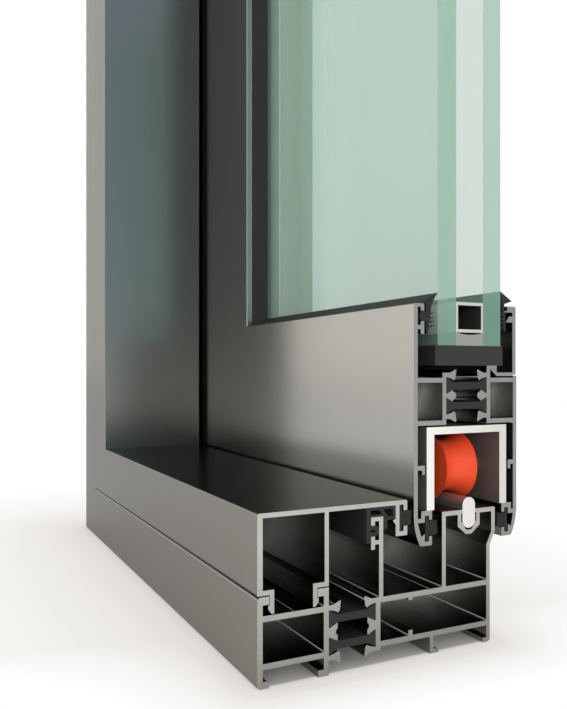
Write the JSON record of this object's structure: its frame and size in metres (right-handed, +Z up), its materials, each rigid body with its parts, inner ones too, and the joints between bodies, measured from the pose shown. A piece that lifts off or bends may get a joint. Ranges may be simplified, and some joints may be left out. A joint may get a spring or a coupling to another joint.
{
  "type": "sliding window profile",
  "caption": "Lower corner sample of a thermally broken aluminium sliding window: mitred frame and sash profiles, double glazing, brush seals and a roller on its rail.",
  "frame": {"origin": "middle of the footprint, on the plane of the sill's feet", "axes": "+Z up along the jamb, +X along the sill from the jamb to the cut end, +Y from the room side to the outside"},
  "size_m": [0.264, 0.103, 0.35],
  "materials": {
    "frame_alloy": "satin anodised",
    "sash_alloy": "satin anodised",
    "break_plastic": "glass filled polyamide",
    "brush_pile": "dense pile on a backing strip",
    "gasket_rubber": "matt black rubber",
    "rail_metal": "ground stainless bar",
    "housing_metal": "bright sheet metal",
    "wheel_red": "satin orange-red",
    "axle_steel": "turned steel",
    "spacer_metal": "bright mill finish",
    "edge_sealant": "grey sealant",
    "block_plastic": "moulded block",
    "pane_glass": "clear float, pale green"
  },
  "bodies": {
    "frame": {"jamb_break_lower": "break_plastic", "jamb_break_upper": "break_plastic", "jamb_cover": "frame_alloy", "jamb_cover_brush": "brush_pile", "jamb_cover_clip": "break_plastic", "jamb_inner_shell": "frame_alloy", "jamb_outer_shell": "frame_alloy", "sill_break_lower": "break_plastic", "sill_break_upper": "break_plastic", "sill_cover": "frame_alloy", "sill_cover_brush": "brush_pile", "sill_cover_clip": "break_plastic", "sill_inner_shell": "frame_alloy", "sill_outer_shell": "frame_alloy", "sill_rail": "rail_metal"},
    "sash": {"edge_sealant": "edge_sealant", "inner_gasket": "gasket_rubber", "inner_pane": "pane_glass", "outer_gasket": "gasket_rubber", "outer_pane": "pane_glass", "rail_bead": "sash_alloy", "rail_break_lower": "break_plastic", "rail_break_upper": "break_plastic", "rail_inner_brush": "brush_pile", "rail_inner_shell": "sash_alloy", "rail_outer_brush": "brush_pile", "rail_outer_shell": "sash_alloy", "roller_axle": "axle_steel", "roller_housing": "housing_metal", "setting_block": "block_plastic", "spacer": "spacer_metal", "stile_bead": "sash_alloy", "stile_break_lower": "break_plastic", "stile_break_upper": "break_plastic", "stile_inner_brush": "brush_pile", "stile_inner_shell": "sash_alloy", "stile_outer_brush": "brush_pile", "stile_outer_shell": "sash_alloy"},
    "roller": {"roller_wheel": "wheel_red"}
  },
  "joints": [
    {"name": "sash_slide", "type": "slide", "parent": "frame", "child": "sash", "axis": [1, 0, 0], "range_m": [0, 0.015]},
    {"name": "wheel_spin", "type": "hinge", "parent": "sash", "child": "roller", "pos_m": [0.1162, 0.0295, 0.06165], "axis": [0, 1, 0], "range_deg": [-1, 95]}
  ],
  "couplings": [
    {"joint": "wheel_spin", "follows": "sash_slide", "rad_per_m": 105.26}
  ]
}
